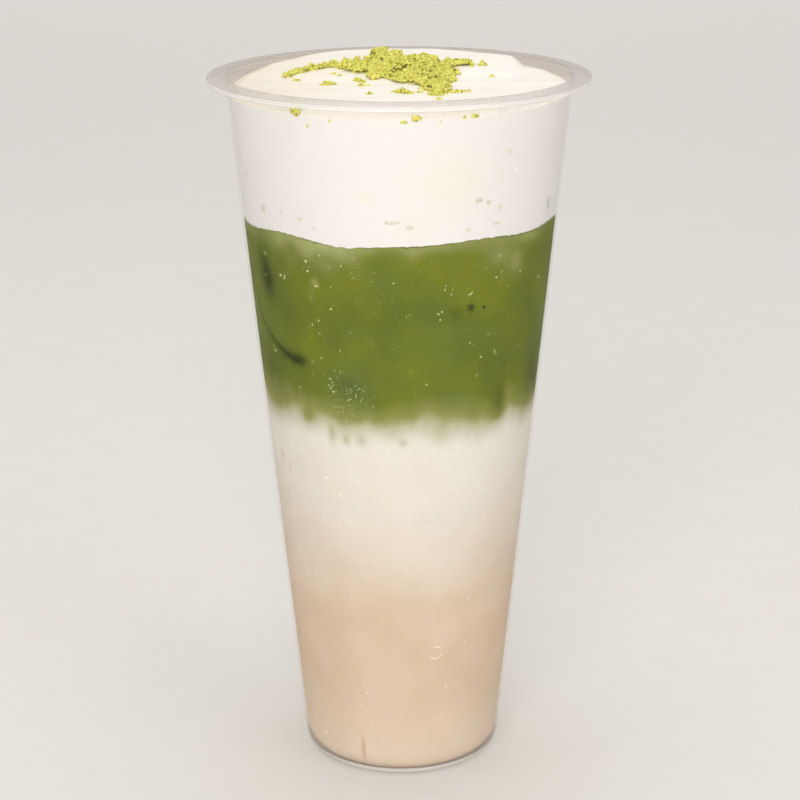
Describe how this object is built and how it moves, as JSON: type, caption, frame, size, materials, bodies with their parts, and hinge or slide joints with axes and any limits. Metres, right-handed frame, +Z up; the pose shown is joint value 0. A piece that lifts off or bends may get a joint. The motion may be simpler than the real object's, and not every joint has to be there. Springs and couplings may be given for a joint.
{
  "type": "iced matcha latte in a cup",
  "caption": "Tall clear tapered cup with a rolled rim, filled with layers of milk tea, milk, green matcha and cream foam, topped with a loose heap of matcha powder.",
  "frame": {"origin": "on the cup's axis, on the surface that the cup stands on", "axes": "+Z up along the cup's axis; -Y is the front, where the foam lies lowest and the powder's small tongue points; +X is to the right seen from the front"},
  "size_m": [0.095, 0.095, 0.1832],
  "materials": {
    "cup": "clear polypropylene, slightly frosted and warm grey at the rim",
    "milk_tea": "opaque tan milk tea seen through the cup",
    "milk": "opaque white milk",
    "matcha": "cloudy green tea with fine bubbles",
    "cream_foam": "smooth dense cream foam",
    "matcha_powder": "dry clumped powder"
  },
  "bodies": {
    "root": {"cup": "cup", "milk_tea_layer": "milk_tea", "milk_layer": "milk", "matcha_layer": "matcha", "cream_foam": "cream_foam", "matcha_powder": "matcha_powder"}
  },
  "joints": []
}
